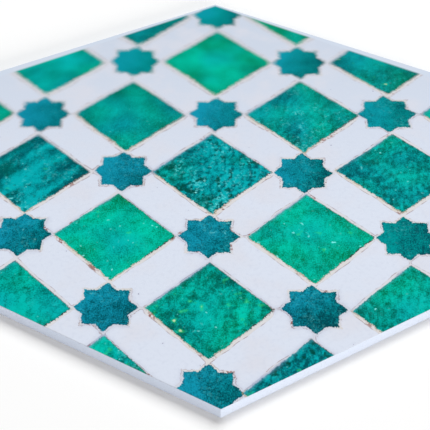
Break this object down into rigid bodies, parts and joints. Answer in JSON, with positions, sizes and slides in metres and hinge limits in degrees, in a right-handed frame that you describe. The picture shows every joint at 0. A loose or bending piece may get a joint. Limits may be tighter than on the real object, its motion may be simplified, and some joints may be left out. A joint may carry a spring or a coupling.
{
  "type": "printed hexagonal plastic tile",
  "caption": "Flat hexagonal plastic tile, printed on one face with a traditional star-and-square mosaic, for gluing edge to edge on a wall.",
  "frame": {"origin": "centre of the back face", "axes": "+Z out of the printed face, +Y towards the corner that is far from the viewer, +X square to the right-hand edge"},
  "size_m": [0.2164, 0.2498, 0.005],
  "materials": {
    "board": "matt white board with a satin print on one face"
  },
  "bodies": {
    "root": {"tile": "board"}
  },
  "joints": []
}
